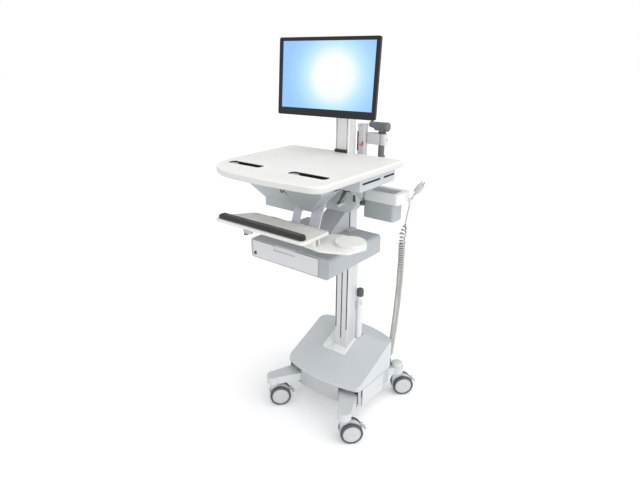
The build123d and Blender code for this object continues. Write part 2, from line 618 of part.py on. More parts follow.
housing = block((-DRAWER_HALF, DRAWER_HALF), (DRAWER_FRONT_Y, DRAWER_BACK_Y), (DRAWER_LOW, DRAWER_HIGH))
housing = fillet(housing.edges().filter_by(Axis.Y), DRAWER_ROUND)
wall = DRAWER_WALL
inside_low, inside_high = DRAWER_LOW + wall, DRAWER_HIGH - wall
housing -= block((OPENING_LEFT - 1, OPENING_RIGHT + 1), (DRAWER_FRONT_Y - 1, DRAWER_FRONT_Y + 20),
                 (DRAWER_LOW + 6, DRAWER_HIGH - 5))
cavity = block((-DRAWER_HALF + wall, DRAWER_HALF - wall), (DRAWER_FRONT_Y + 4, DRAWER_BACK_Y - wall),
               (inside_low, inside_high))
housing -= fillet(cavity.edges().filter_by(Axis.Y), DRAWER_ROUND - wall)
RAIL_LEFT, RAIL_RIGHT = OPENING_LEFT + 3, OPENING_RIGHT - 3
housing += block((-DRAWER_HALF + wall, RAIL_LEFT - 0.5), (-320, -20), (826, 846))
housing += block((RAIL_RIGHT + 0.5, DRAWER_HALF - wall), (-320, -20), (826, 846))
save("drawer_housing", housing)

BOX_BACK = DRAWER_BACK_Y - 14
BOX_HIGH = 874.0
BOX_LOW = DRAWER_LOW + 8
drawer_box = block((RAIL_LEFT, RAIL_RIGHT), (DRAWER_FRONT_Y + 3, BOX_BACK), (BOX_LOW, BOX_HIGH))
drawer_box -= block((RAIL_LEFT + 2, RAIL_RIGHT - 2), (DRAWER_FRONT_Y + 6, BOX_BACK - 2),
                    (BOX_LOW + 2, BOX_HIGH + 1))
for k in (1, 2):
    divider_x = RAIL_LEFT + k * (RAIL_RIGHT - RAIL_LEFT) / 3
    drawer_box += block((divider_x - 1, divider_x + 1), (DRAWER_FRONT_Y + 5, BOX_BACK - 1),
                        (BOX_LOW + 1, BOX_HIGH - 12))
save("drawer_box", drawer_box)

drawer_front = block((OPENING_LEFT, OPENING_RIGHT), (DRAWER_FRONT_Y - 5, DRAWER_FRONT_Y + 3),
                     (DRAWER_LOW + 7, DRAWER_HIGH - 6))
drawer_front = fillet(drawer_front.edges().filter_by(Axis.Y), 4)
drawer_front -= block((-70, 40), (DRAWER_FRONT_Y - 6, DRAWER_FRONT_Y - 1), (DRAWER_HIGH - 26, DRAWER_HIGH))
drawer_front -= rod((LOCK_X, DRAWER_FRONT_Y - 9, LOCK_Z), (LOCK_X, DRAWER_FRONT_Y + 2.9, LOCK_Z),
                    LOCK_R + RUNNING)
save("drawer_front", drawer_front)
lock = rod((LOCK_X, DRAWER_FRONT_Y - 8, LOCK_Z), (LOCK_X, DRAWER_FRONT_Y + 2.4, LOCK_Z), LOCK_R)
lock -= block((LOCK_X - 0.8, LOCK_X + 0.8), (DRAWER_FRONT_Y - 9, DRAWER_FRONT_Y - 3),
              (LOCK_Z - 4, LOCK_Z + 4))
save("drawer_lock", lock)

# ------------------------------------------------------------------ keyboard and mouse trays
TRAY_LOW = TRAY_Z - TRAY_THICK
tray_face = make_face(Polyline(
    (-TRAY_HALF, TRAY_FRONT), (TRAY_HALF, TRAY_FRONT), (TRAY_HALF, TRAY_BACK),
    (TRAY_CUT[0], TRAY_BACK), (-TRAY_HALF, TRAY_CUT[1]), close=True))
tray_face = fillet(tray_face.vertices(), 14)
tray = upright(tray_face, TRAY_LOW, TRAY_Z)
tray = fillet(tray.edges().group_by(Axis.Z)[-1] + tray.edges().group_by(Axis.Z)[0], 2.5)
tray_inner = offset(tray_face, -8)
tray -= upright(tray_inner, TRAY_Z - 3, TRAY_Z + 1) & block((-230, 230), (-475, -360), (990, 1020))
for left, right in ARM_SPANS:
    tray -= block((left - 1, right + 1), (HINGE_Y - 12, HINGE_Y + 12), (TRAY_LOW - 1, TRAY_Z + 1))
    tray += rod((left - 9, HINGE_Y, HINGE_Z), (left - 0.5, HINGE_Y, HINGE_Z), KNUCKLE_R)
    tray += rod((right + 0.5, HINGE_Y, HINGE_Z), (right + 9, HINGE_Y, HINGE_Z), KNUCKLE_R)
tray += rod((ARM_SPANS[0][0] - 9, HINGE_Y, HINGE_Z), (ARM_SPANS[1][1] + 9, HINGE_Y, HINGE_Z), HINGE_R)
rail_left = MOUSE_LEFT - MOUSE_TRAVEL + 2
for y in (-442, -418):
    tray += block((rail_left, TRAY_HALF - 6), (y - 4, y + 4), (MOUSE_Z + 0.4, TRAY_LOW + 1))
save("keyboard_tray", *tray.solids())
palm = soft_block((-PALM_HALF, PALM_HALF), (PALM_Y - 17, PALM_Y + 17), (TRAY_Z, TRAY_Z + 19), 14)
palm = fillet(palm.edges().group_by(Axis.Z)[-1], 8)
save("palm_rest", palm)

mouse_outline = [
    (MOUSE_LEFT, MOUSE_BACK - 40), (MOUSE_LEFT, MOUSE_FRONT + 10), (MOUSE_LEFT + 90, MOUSE_FRONT),
    (MOUSE_RIGHT - 20, MOUSE_FRONT + 40), (MOUSE_RIGHT, MOUSE_BACK - 60),
    (MOUSE_RIGHT - 40, MOUSE_BACK), (MOUSE_LEFT + 60, MOUSE_BACK),
]
mouse_face = fillet(make_face(Polyline(*mouse_outline, close=True)).vertices(), 22)
mouse_tray = upright(mouse_face, MOUSE_Z - 9, MOUSE_Z)
mouse_tray = fillet(mouse_tray.edges().group_by(Axis.Z)[-1] + mouse_tray.edges().group_by(Axis.Z)[0], 2)
mouse_tray += upright(Pos(*MOUSE_PAD) * Circle(MOUSE_PAD_R), MOUSE_Z - 2, MOUSE_Z + 9)
save("mouse_tray", mouse_tray)

# ------------------------------------------------------------------ mast and display
mast = block((-MAST_HALF, MAST_HALF), (MAST_FRONT, MAST_BACK), (FRAME_TOP, MAST_TOP))
mast = fillet(mast.edges().filter_by(Axis.Z), 5)
for side in (-1, 1):
    groove_x = side * 25
    mast -= block((groove_x - 2, groove_x + 2), (MAST_FRONT - 1, MAST_FRONT + 7),
                  (TOP_Z + 12, MAST_TOP - 8))
mast -= block((-18, 18), (14, 40), (FRAME_TOP + 4, MAST_TOP - 4))
mast += block((-MAST_HALF - 1.5, MAST_HALF + 1.5), (MAST_FRONT - 5.5, MAST_FRONT), (TOP_Z - 10, TOP_Z + 11))
save("mast", mast)

PLATE_X, PLATE_Y, PLATE_Z = PLATE_CENTRE
CARRIAGE_LOW, CARRIAGE_HIGH = PLATE_Z - 42, PLATE_Z + 30
carriage = block((-MAST_HALF - 6, MAST_HALF + 6), (MAST_FRONT - 14, MAST_FRONT + 22),
                 (CARRIAGE_LOW, CARRIAGE_HIGH))
carriage = fillet(carriage.edges().filter_by(Axis.Z), 5)
carriage -= block((-MAST_HALF - 0.3, MAST_HALF + 0.3), (MAST_FRONT - 0.3, MAST_FRONT + 30), (1400, 1600))
for low, high in ((PLATE_Z - 30, PLATE_Z - 20), (PLATE_Z + 8, PLATE_Z + 18)):
    ear = block((-13, 13), (PAN_Y, MAST_FRONT - 10), (low, high))
    ear += Pos(0, PAN_Y, (low + high) / 2) * Cylinder(13, high - low)
    carriage += ear - Pos(0, PAN_Y, PLATE_Z) * Cylinder(PAN_R + RUNNING, 100)
save("mast_carriage", carriage)

DISPLAY = Pos(0, PAN_Y, 0) * Rot(0, 0, PAN) * Pos(0, -PAN_Y, 0)      # turned about the pan pin
TILT_Z = PLATE_Z - 6.0
TILTED = DISPLAY * Pos(0, TILT_Y, TILT_Z) * Rot(-TILT, 0, 0) * Pos(0, -TILT_Y, -TILT_Z)
yoke_block = Pos(0, PAN_Y, PLATE_Z - 6) * Cylinder(PAN_R, 50)
yoke_block += Pos(0, PAN_Y, PLATE_Z - 6) * Cylinder(9, 27)
for side in (-1, 1):
    cheek = block((side * 17 - 3, side * 17 + 3), (TILT_Y - 6, PAN_Y - 6), (TILT_Z - 9, TILT_Z + 9))
    yoke_block += cheek
yoke_block += block((-20, 20), (PAN_Y - 10, PAN_Y - 6), (TILT_Z - 9, TILT_Z + 9))
yoke_block -= rod((-30, TILT_Y, TILT_Z), (30, TILT_Y, TILT_Z), TILT_R + RUNNING)
save("pan_yoke", *(DISPLAY * yoke_block).solids())

tilt_block = rod((-24, TILT_Y, TILT_Z), (24, TILT_Y, TILT_Z), TILT_R)
tilt_block += rod((-13.5, TILT_Y, TILT_Z), (13.5, TILT_Y, TILT_Z), 8.5)
tilt_block += rod((0, TILT_Y, TILT_Z), (0, PLATE_Y + 1, TILT_Z), PIVOT_R)
for side in (-1, 1):
    tilt_block += rod((side * 20.4, TILT_Y, TILT_Z), (side * 25, TILT_Y, TILT_Z), 8)
save("tilt_block", TILTED * tilt_block)

SCREEN_BACK = PLATE_Y - 4
plate = Pos(PLATE_X, PLATE_Y - 2, PLATE_Z) * Rot(90, 0, 0) * extrude(
    fillet(Rectangle(2 * PLATE_HALF, 2 * PLATE_HALF).vertices(), 8), 2, both=True)
for x in (-50, 50):
    for z in (-50, 50):
        plate -= rod((PLATE_X + x, PLATE_Y - 5, PLATE_Z + z), (PLATE_X + x, PLATE_Y + 1, PLATE_Z + z), 2.2)
hub = rod((0, PLATE_Y - 4, TILT_Z), (0, PLATE_Y + 4, TILT_Z), 13)
plate = (plate + hub) - rod((0, PLATE_Y - 20, TILT_Z), (0, PLATE_Y + 10, TILT_Z), PIVOT_R + RUNNING)
save("mount_plate", TILTED * plate)

SHELL_X, SHELL_Z = SHELL_CENTRE
half_w, half_h = SCREEN_W / 2, SCREEN_H / 2
SCREEN_FRONT = SCREEN_BACK - SCREEN_THICK - 14
screen_x = (SHELL_X - half_w, SHELL_X + half_w)
screen_z = (SHELL_Z - half_h, SHELL_Z + half_h)


def screen_block(margin, front, back, radius):
    """A slab of the display's own outline, smaller all round by margin."""
    across = (screen_x[0] + margin, screen_x[1] - margin)
    up = (screen_z[0] + margin, screen_z[1] - margin)
    solid = block(across, (front, back), up)
    return fillet(solid.edges().filter_by(Axis.Y), radius)


shell_front = SCREEN_FRONT + BEZEL_DEPTH


def tapered_shell(margin, front, depth):
    """The display's back: it narrows from the bezel to a flat rear."""
    face = fillet(Rectangle(SCREEN_W - 2 * margin, SCREEN_H - 2 * margin).vertices(), 8)
    return Pos(SHELL_X, front, SHELL_Z) * extrude(Plane.XZ * face, depth, dir=(0, 1, 0), taper=BACK_TAPER)


shell_depth = SCREEN_BACK - 14 - shell_front - 0.1
shell = tapered_shell(3, shell_front + 0.1, shell_depth)
shell += screen_block(70, SCREEN_BACK - 18, SCREEN_BACK - 0.1, 14)
shell -= tapered_shell(6.5, shell_front, shell_depth - 3)
save("monitor_shell", TILTED * shell)
view_x = (SHELL_X - VIEW_W / 2, SHELL_X + VIEW_W / 2)
view_z = (SHELL_Z + VIEW_UP - VIEW_H / 2, SHELL_Z + VIEW_UP + VIEW_H / 2)
bezel = screen_block(0, SCREEN_FRONT, shell_front, 7)
bezel -= block(view_x, (SCREEN_FRONT - 1, SCREEN_FRONT + 5), view_z)
bezel -= screen_block(3, SCREEN_FRONT + 4, shell_front + 1, 6)
save("monitor_bezel", TILTED * bezel)
panel = screen_block(3.2, SCREEN_FRONT + 4.1, shell_front - 1, 6)
save("screen_panel", TILTED * panel)

# ------------------------------------------------------------------ rear handle
post = block((30, 62), (68, 99), (FRAME_TOP, 1316))
post = fillet(post.edges().filter_by(Axis.Z), 4)
clamp_arm = soft_block((62, 152), CLAMP_Y, (1238, 1283), 10)
clamp_arm -= Pos(*RISER, 1260) * Cylinder(13.1, 100)
save("handle_bracket", post + clamp_arm)
riser = Pos(*RISER, (1190 + GRIP_Z) / 2) * Cylinder(13, GRIP_Z - 1190)
riser += rod((100, RISER[1], GRIP_Z), (156, RISER[1], GRIP_Z), 17.5)
riser += rod((74, RISER[1], GRIP_Z + 8), (104, RISER[1], GRIP_Z), 13)
foot_bar = block((RISER[0] - 10, RISER[0] + 10), (RISER[1] - 8, 112), (FRAME_TOP, 1194))
save("rear_handle", riser + foot_bar)

# ------------------------------------------------------------------ storage bin
bin_body = soft_block((BIN_LEFT, BIN_RIGHT), (BIN_FRONT, BIN_BACK), (BIN_LOW, BIN_SPLIT), 12)
hollow_x = (BIN_LEFT + BIN_WALL, BIN_RIGHT - BIN_WALL)
hollow_y = (BIN_FRONT + BIN_WALL, BIN_BACK - BIN_WALL)
bin_body = fillet(bin_body.edges().group_by(Axis.Z)[0], 3)
bin_body -= soft_block(hollow_x, hollow_y, (BIN_LOW + BIN_WALL, BIN_SPLIT + 1), 9)
save("storage_bin", bin_body)
rim = soft_block((BIN_LEFT - 0.9, BIN_RIGHT + 18), (BIN_FRONT - 4, RIM_BACK), (BIN_SPLIT, BIN_HIGH), 14)
rim = fillet(rim.edges().group_by(Axis.Z)[-1], 2.5)
rim -= soft_block(hollow_x, hollow_y, (BIN_SPLIT - 1, BIN_HIGH + 1), 9)

# a short sleeve on the rim's right side holds the power cord just below its plug
clip_low, clip_high = Vector(*LEAD_ROUTE[4]), Vector(*LEAD_ROUTE[5])
clip_axis = (clip_high - clip_low).normalized()
clip_middle = (clip_low + clip_high) / 2


def along_clip(distance):
    return tuple(clip_middle + clip_axis * distance)


rim += block((268, 275), (89, 101), (BIN_SPLIT + 1, BIN_SPLIT + 13))
rim += rod(along_clip(-CLIP_LONG / 2), along_clip(CLIP_LONG / 2), CLIP_R)
rim -= rod(along_clip(-CLIP_LONG), along_clip(CLIP_LONG), CLIP_BORE_R)
save("bin_rim", rim)


# ------------------------------------------------------------------ power cord
def corner_radii(route):
    """The largest arc that fits each corner of a route."""
    radii = []
    points = [Vector(*p) for p in route]
    for before, corner, after in zip(points, points[1:], points[2:]):
        turn = (corner - before).get_angle(after - corner)
        shorter = min((corner - before).length, (after - corner).length)
        radii.append(0.45 * shorter / tan(radians(turn / 2)))
    return radii


def cord_tube(name, route, diameter):
    """A round tube along straight runs joined by tangent arcs."""
    radii = corner_radii(route)
    path = FilletPolyline(*route, radius=radii)
    start = Plane(path @ 0, z_dir=path % 0)
    tube = sweep(start * Circle(diameter / 2), path=path)
    exact = pi * diameter ** 2 / 4 * path.length
    print(f"{name}: length {path.length:.1f} mm, radii {[round(r) for r in radii]}, "
          f"volume {tube.volume:.0f} of {exact:.0f} mm3")
    return tube


coil = cord_tube("cord_coil", COIL_ROUTE, COIL_D)
coil_foot = COIL_ROUTE[0]
coil += rod((coil_foot[0], coil_foot[1], GLAND_TOP), (coil_foot[0], coil_foot[1], coil_foot[2] + 6),
            CORD_D / 2)
save("cord_coil", coil)
save("cord_lead", cord_tube("cord_lead", LEAD_ROUTE, CORD_D))

plug_foot = Vector(*LEAD_ROUTE[-1])
plug_axis = (plug_foot - Vector(*LEAD_ROUTE[-2])).normalized()
plug_place = Plane(plug_foot, x_dir=(0, 1, 0), z_dir=plug_axis)
neck = Cone(CORD_D / 2 + 1, 8, PLUG_NECK, align=(Align.CENTER, Align.CENTER, Align.MIN))
head = extrude(fillet(Rectangle(30, 25).vertices(), 9), PLUG_BODY)
head = fillet(head.edges().filter_by(GeomType.LINE, reverse=True).group_by(Axis.Z)[0], 3)
plug = neck + Pos(0, 0, PLUG_NECK - 4) * head
prong_foot = PLUG_NECK + PLUG_BODY - 8
prong_tip = PLUG_NECK + PLUG_BODY - 4 + PLUG_PRONG
for x in (-6.4, 6.4):
    plug += block((x - 0.8, x + 0.8), (-6, 0.4), (prong_foot, prong_tip))
plug += rod((0, 7, prong_foot), (0, 7, prong_tip + 1), 2.4)
save("power_plug", plug_place * plug)
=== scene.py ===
"""Looks of the medical workstation cart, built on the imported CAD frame.

Every position below is written in millimetres about the column, as in the part's own source,
and at() turns it into the row's metres: x = 0 is the column's middle, y = 0 lies between the
front and rear caster stems, and z = 0 is the floor. The cart's front faces -Y.
"""

from math import atan2, cos, pi, radians, sin, tan

import bmesh
import bpy
from mathutils import Matrix, Vector, kdtree


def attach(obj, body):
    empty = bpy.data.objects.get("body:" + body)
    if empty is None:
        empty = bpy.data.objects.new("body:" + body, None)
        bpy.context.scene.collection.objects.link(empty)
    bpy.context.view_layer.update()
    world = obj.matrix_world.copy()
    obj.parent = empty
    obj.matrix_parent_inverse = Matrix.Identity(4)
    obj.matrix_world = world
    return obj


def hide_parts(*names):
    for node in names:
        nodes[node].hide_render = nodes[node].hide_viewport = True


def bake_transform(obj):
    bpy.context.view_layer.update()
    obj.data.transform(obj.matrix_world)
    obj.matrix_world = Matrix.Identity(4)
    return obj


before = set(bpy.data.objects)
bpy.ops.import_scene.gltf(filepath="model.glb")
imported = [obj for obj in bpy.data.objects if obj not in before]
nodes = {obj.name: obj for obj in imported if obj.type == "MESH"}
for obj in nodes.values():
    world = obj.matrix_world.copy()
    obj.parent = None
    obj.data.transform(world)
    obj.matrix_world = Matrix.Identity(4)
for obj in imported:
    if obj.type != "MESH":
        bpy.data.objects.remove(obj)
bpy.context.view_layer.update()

ORIGIN = Vector((31.8, -121.2, 0.0))       # the row's origin in the column's frame, mm


def at(x, y, z):
    """A point in millimetres about the column, as a point of the row in metres."""
    return (Vector((x, y, z)) - ORIGIN) / 1000


# ------------------------------------------------------------------ camera
CAMERA_AT = (1229.7, -1746.7, 1615.3)
CAMERA_AZIMUTH = 0.70334                   # radians, turned to the left from +Y
CAMERA_DOWN = 0.36036
CAMERA_ROLL = -0.008608
LENS = 29.178                              # for a 36 mm sensor
LENS_SHIFT = (0.0379, 0.0033)


def make_camera():
    forward = Vector((
        -sin(CAMERA_AZIMUTH) * cos(CAMERA_DOWN),
        cos(CAMERA_AZIMUTH) * cos(CAMERA_DOWN),
        -sin(CAMERA_DOWN),
    ))
    level = Vector((cos(CAMERA_AZIMUTH), sin(CAMERA_AZIMUTH), 0))
    upward = level.cross(forward)
    right = cos(CAMERA_ROLL) * level + sin(CAMERA_ROLL) * upward
    up = cos(CAMERA_ROLL) * upward - sin(CAMERA_ROLL) * level
    data = bpy.data.cameras.new("camera")
    data.sensor_width = 36
    data.lens = LENS
    data.shift_x, data.shift_y = LENS_SHIFT
    camera = bpy.data.objects.new("camera", data)
    turn = Matrix((right, up, -forward)).transposed().to_4x4()
    camera.matrix_world = Matrix.Translation(at(*CAMERA_AT)) @ turn
    bpy.context.scene.collection.objects.link(camera)
    bpy.context.scene.camera = camera


make_camera()


# ------------------------------------------------------------------ materials
class Shader:
    """A material with a Principled shader, and short ways to add its texture nodes."""

    def __init__(self, name, colour, roughness, metallic=0.0):
        self.material = bpy.data.materials.new(name)
        self.material.use_nodes = True
        self.tree = self.material.node_tree
        self.surface = self.tree.nodes["Principled BSDF"]
        self.put("Base Color", (*colour, 1))
        self.put("Roughness", roughness)
        self.put("Metallic", metallic)
        self.colour = colour
        self.roughness = roughness

    def put(self, socket, value):
        self.surface.inputs[socket].default_value = value

    def node(self, kind, **sockets):
        made = self.tree.nodes.new("ShaderNode" + kind)
        for name, value in sockets.items():
            socket = made.inputs[name.replace("_", " ")]
            if hasattr(value, "is_output"):
                self.tree.links.new(value, socket)
            else:
                socket.default_value = value
        return made

    def link(self, output, socket):
        self.tree.links.new(output, self.surface.inputs[socket])

    def noise(self, scale, detail=2.0, stretch=(1, 1, 1), rough=0.5):
        """A noise pattern fixed to the object. stretch squeezes it along each axis."""
        place = self.node("TexCoord")
        mapping = self.node("Mapping", Vector=place.outputs["Object"], Scale=stretch)
        return self.node("TexNoise", Vector=mapping.outputs["Vector"], Scale=scale, Detail=detail,
                         Roughness=rough).outputs["Fac"]

    def spread(self, source, low, high):
        """Turns a 0..1 pattern into a number from low to high."""
        made = self.node("MapRange", Value=source)
        made.inputs["From Min"].default_value = 0.3
        made.inputs["From Max"].default_value = 0.7
        made.inputs["To Min"].default_value = low
        made.inputs["To Max"].default_value = high
        return made.outputs["Result"]

    def blotches(self, scale, amount, stretch=(1, 1, 1)):
        """Slow changes of shade over the surface."""
        made = self.node("Mix")
        made.data_type = "RGBA"
        self.tree.links.new(self.spread(self.noise(scale, 3, stretch), 0, 1), made.inputs["Factor"])
        made.inputs["A"].default_value = (*[c * (1 - amount) for c in self.colour], 1)
        made.inputs["B"].default_value = (*[min(1, c * (1 + amount)) for c in self.colour], 1)
        result = made.outputs["Result"]
        self.link(result, "Base Color")
        return result

    def uneven_gloss(self, scale, amount, stretch=(1, 1, 1)):
        source = self.noise(scale, 3, stretch)
        self.link(self.spread(source, self.roughness - amount, self.roughness + amount), "Roughness")

    def relief(self, patterns):
        """Stacks bumps: each pattern is (height source, depth in metres)."""
        normal = None
        for source, depth in patterns:
            bump = self.node("Bump", Height=source, Strength=1.0, Distance=depth)
            if normal is not None:
                self.tree.links.new(normal, bump.inputs["Normal"])
            normal = bump.outputs["Normal"]
        self.link(normal, "Normal")


def moulded(name, colour, roughness=0.5, grain=1.0):
    """Injection-moulded plastic with a fine spark-eroded grain."""
    s = Shader(name, colour, roughness)
    s.blotches(9, 0.018)
    s.uneven_gloss(30, 0.05)
    s.relief([(s.noise(1500, 1), 0.00006 * grain), (s.noise(14, 2), 0.0004)])
    return s.material


def moulded_slab(name, colour, painted_edge_shade):
    """A moulded slab with painted shade: its upright edges are coloured darker than its faces, standing in
    for the light they miss.
    """
    s = Shader(name, colour, 0.42)
    face = s.blotches(9, 0.018)
    # painted shade: the more upright the face, the darker its colour
    normal = s.node("NewGeometry")
    parts = s.node("SeparateXYZ", Vector=normal.outputs["Normal"])
    upright = s.node("MapRange", Value=parts.outputs["Z"])
    upright.inputs["From Min"].default_value = 0.35
    upright.inputs["From Max"].default_value = 0.85
    upright.inputs["To Min"].default_value = 1.0
    upright.inputs["To Max"].default_value = 0.0
    shade = s.node("Mix", Factor=upright.outputs["Result"])
    shade.data_type = "RGBA"
    s.tree.links.new(face, shade.inputs["A"])
    shade.inputs["B"].default_value = (*[c * painted_edge_shade for c in colour], 1)
    s.link(shade.outputs["Result"], "Base Color")
    s.uneven_gloss(30, 0.05)
    s.relief([(s.noise(1500, 1), 0.00008), (s.noise(14, 2), 0.0004)])
    return s.material


def painted(name, colour, roughness=0.42):
    """Powder coat: a slight orange peel."""
    s = Shader(name, colour, roughness)
    s.blotches(12, 0.02)
    s.uneven_gloss(40, 0.05)
    s.relief([(s.noise(420, 2), 0.00012)])
    return s.material


def extruded(name, colour, roughness=0.38, metallic=0.75):
    """Anodised extrusion: faint lines along Z."""
    s = Shader(name, colour, roughness, metallic)
    s.blotches(30, 0.03, (1, 1, 0.03))
    s.uneven_gloss(220, 0.07, (1, 1, 0.02))
    s.relief([(s.noise(1300, 2, (1, 1, 0.008)), 0.00003)])
    return s.material


def brushed(name, colour, roughness=0.3, stretch=(1, 1, 0.02)):
    s = Shader(name, colour, roughness, 1.0)
    s.blotches(60, 0.05, stretch)
    s.uneven_gloss(400, 0.1, stretch)
    s.relief([(s.noise(2600, 2, stretch), 0.00002)])
    return s.material


def rubber(name, colour, roughness=0.75):
    s = Shader(name, colour, roughness)
    s.blotches(40, 0.12)
    s.uneven_gloss(60, 0.08)
    s.relief([(s.noise(900, 3), 0.0001), (s.noise(90, 2), 0.0002)])
    return s.material


def coiled_jacket_painted_shade(name, colour):
    """The curly cord's jacket, with painted shade: darker on the side that faces the coil's middle, for
    the shadow inside the coil.
    """
    s = Shader(name, colour, 0.5)
    outward = s.node("Attribute")
    outward.attribute_name = "outward"
    shade = s.node("Mix", Factor=outward.outputs["Fac"])
    shade.data_type = "RGBA"
    # painted shade inside the coil: the inner side is 0.35 of the jacket colour
    shade.inputs["A"].default_value = (*[c * 0.35 for c in colour], 1)
    shade.inputs["B"].default_value = (*colour, 1)
    s.link(shade.outputs["Result"], "Base Color")
    s.uneven_gloss(60, 0.08)
    s.relief([(s.noise(900, 3), 0.00008)])
    return s.material


def foam_skin(name, colour):
    """The palm rest's skin: a fine knit over foam."""
    s = Shader(name, colour, 0.82)
    s.put("Sheen Weight", 0.35)
    s.put("Sheen Roughness", 0.4)
    s.blotches(25, 0.15)
    place = s.node("TexCoord")
    weave = []
    for direction in ("X", "Y"):
        wave = s.node("TexWave", Vector=place.outputs["Object"], Scale=520, Distortion=1.2)
        wave.bands_direction = direction
        weave.append((wave.outputs["Fac"], 0.00012))
    s.relief(weave + [(s.noise(60, 2), 0.0003)])
    return s.material


# the worktop's and the trays' upright edges carry painted shade, 0.76 and 0.85 of the face colour
worktop_white = moulded_slab("worktop_white", (0.84, 0.835, 0.80), 0.76)
tray_white = moulded_slab("tray_white", (0.825, 0.83, 0.79), 0.85)
near_white = moulded("near_white", (0.82, 0.835, 0.845), 0.45)
door_white = moulded("door_white", (0.58, 0.60, 0.615), 0.45)
clamp_white = moulded("clamp_white", (0.66, 0.65, 0.67), 0.45)
cool_grey = moulded("cool_grey", (0.555, 0.59, 0.61), 0.5)
skirt_grey = moulded("skirt_grey", (0.46, 0.485, 0.505), 0.52)
bay_grey = moulded("bay_grey", (0.52, 0.56, 0.59), 0.48)
tub_grey = moulded("tub_grey", (0.44, 0.475, 0.49), 0.5)
bin_grey = moulded("bin_grey", (0.37, 0.41, 0.42), 0.5)
rim_grey = moulded("rim_grey", (0.72, 0.73, 0.75), 0.45)
caster_grey = moulded("caster_grey", (0.53, 0.56, 0.59), 0.4)
pedal_grey = moulded("pedal_grey", (0.42, 0.44, 0.46), 0.5)
charcoal = moulded("charcoal", (0.025, 0.027, 0.03), 0.5)
# near-black standing in for shade: painted shade inside the grip liners and behind the bay's slots
gap_shade_black = moulded("gap_shade_black", (0.006, 0.006, 0.007), 0.7)
case_black = moulded("case_black", (0.02, 0.021, 0.023), 0.45)
knob_grey = moulded("knob_grey", (0.07, 0.08, 0.09), 0.45)
display_back = moulded("display_back", (0.035, 0.036, 0.038), 0.5)
drawer_paint = painted("drawer_paint", (0.375, 0.405, 0.425))
drawer_face = moulded("drawer_face", (0.62, 0.63, 0.65), 0.42)
frame_paint = painted("frame_paint", (0.56, 0.59, 0.61))
lavender_paint = painted("lavender_paint", (0.60, 0.61, 0.67))
mount_paint = painted("mount_paint", (0.68, 0.70, 0.72))
column_metal = extruded("column_metal", (0.66, 0.68, 0.69), 0.42, 0.5)
duct_plastic = moulded("duct_plastic", (0.74, 0.75, 0.78), 0.4)
inner_metal = extruded("inner_metal", (0.60, 0.63, 0.66))
mast_metal = extruded("mast_metal", (0.84, 0.845, 0.85), 0.42, 0.4)
steel = brushed("steel", (0.62, 0.63, 0.64))
lock_metal = brushed("lock_metal", (0.10, 0.10, 0.11), 0.3, (1, 1, 1))
zinc = brushed("zinc", (0.50, 0.51, 0.53), 0.3, (1, 1, 1))
tyre_rubber = rubber("tyre_rubber", (0.075, 0.08, 0.085))
grip_rubber = rubber("grip_rubber", (0.16, 0.16, 0.17), 0.6)
cord_jacket = coiled_jacket_painted_shade("cord_jacket", (0.52, 0.51, 0.48))
plug_grey = moulded("plug_grey", (0.56, 0.555, 0.54), 0.45)
lever_grey = moulded("lever_grey", (0.36, 0.36, 0.37), 0.45)
hanger_grey = painted("hanger_grey", (0.50, 0.525, 0.55))
yoke_grey = moulded("yoke_grey", (0.64, 0.67, 0.68), 0.45)
palm_skin = foam_skin("palm_skin", (0.014, 0.014, 0.015))
label_blue = moulded("label_blue", (0.36, 0.39, 0.46), 0.4)
mark_grey = moulded("mark_grey", (0.52, 0.55, 0.57), 0.5)
tab_orange = moulded("tab_orange", (0.72, 0.20, 0.08), 0.4)
tab_red = moulded("tab_red", (0.30, 0.03, 0.02), 0.4)
hub_white = moulded("hub_white", (0.50, 0.52, 0.54), 0.35)
strut_grey = moulded("strut_grey", (0.09, 0.10, 0.11), 0.35)


def bezel_plastic():
    s = Shader("bezel_plastic", (0.010, 0.010, 0.011), 0.3)
    s.put("Specular IOR Level", 0.3)
    s.put("Coat Weight", 0.12)
    s.put("Coat Roughness", 0.1)
    s.uneven_gloss(25, 0.05)
    s.relief([(s.noise(700, 1), 0.00002)])
    return s.material


gloss_black = bezel_plastic()

# where the lit picture's white glow sits, and how far it reaches, in metres
GLOW_AT = at(26, -130, 1512)
SCREEN_LIGHT = 1.0


def lit_screen():
    """The display's picture: a white glow that fades through sky blue to a deeper blue."""
    s = Shader("lit_screen", (0.01, 0.012, 0.015), 0.16)
    s.put("Coat Weight", 0.5)
    s.put("Coat Roughness", 0.05)
    place = s.node("TexCoord")
    shift = s.node("VectorMath", **{"Vector": place.outputs["Object"]})
    shift.operation = "SUBTRACT"
    shift.inputs[1].default_value = GLOW_AT
    squeeze = s.node("VectorMath")
    squeeze.operation = "MULTIPLY"
    s.tree.links.new(shift.outputs[0], squeeze.inputs[0])
    squeeze.inputs[1].default_value = (4.6, 0, 4.9)
    reach = s.node("VectorMath")
    reach.operation = "LENGTH"
    s.tree.links.new(squeeze.outputs[0], reach.inputs[0])
    ramp = s.node("ValToRGB", Fac=reach.outputs["Value"])
    stops = ramp.color_ramp.elements
    stops[0].position, stops[0].color = 0.20, (1.0, 1.0, 1.0, 1)
    stops[1].position, stops[1].color = 1.0, (0.28, 0.55, 1.0, 1)
    for position, colour in ((0.38, (0.88, 0.95, 1.0, 1)), (0.56, (0.52, 0.80, 1.0, 1)),
                             (0.78, (0.34, 0.64, 1.0, 1))):
        stop = stops.new(position)
        stop.color = colour
    s.link(ramp.outputs["Color"], "Emission Color")
    s.put("Emission Strength", SCREEN_LIGHT)
    s.relief([(s.noise(2000, 1), 0.000005)])
    return s.material


screen_picture = lit_screen()

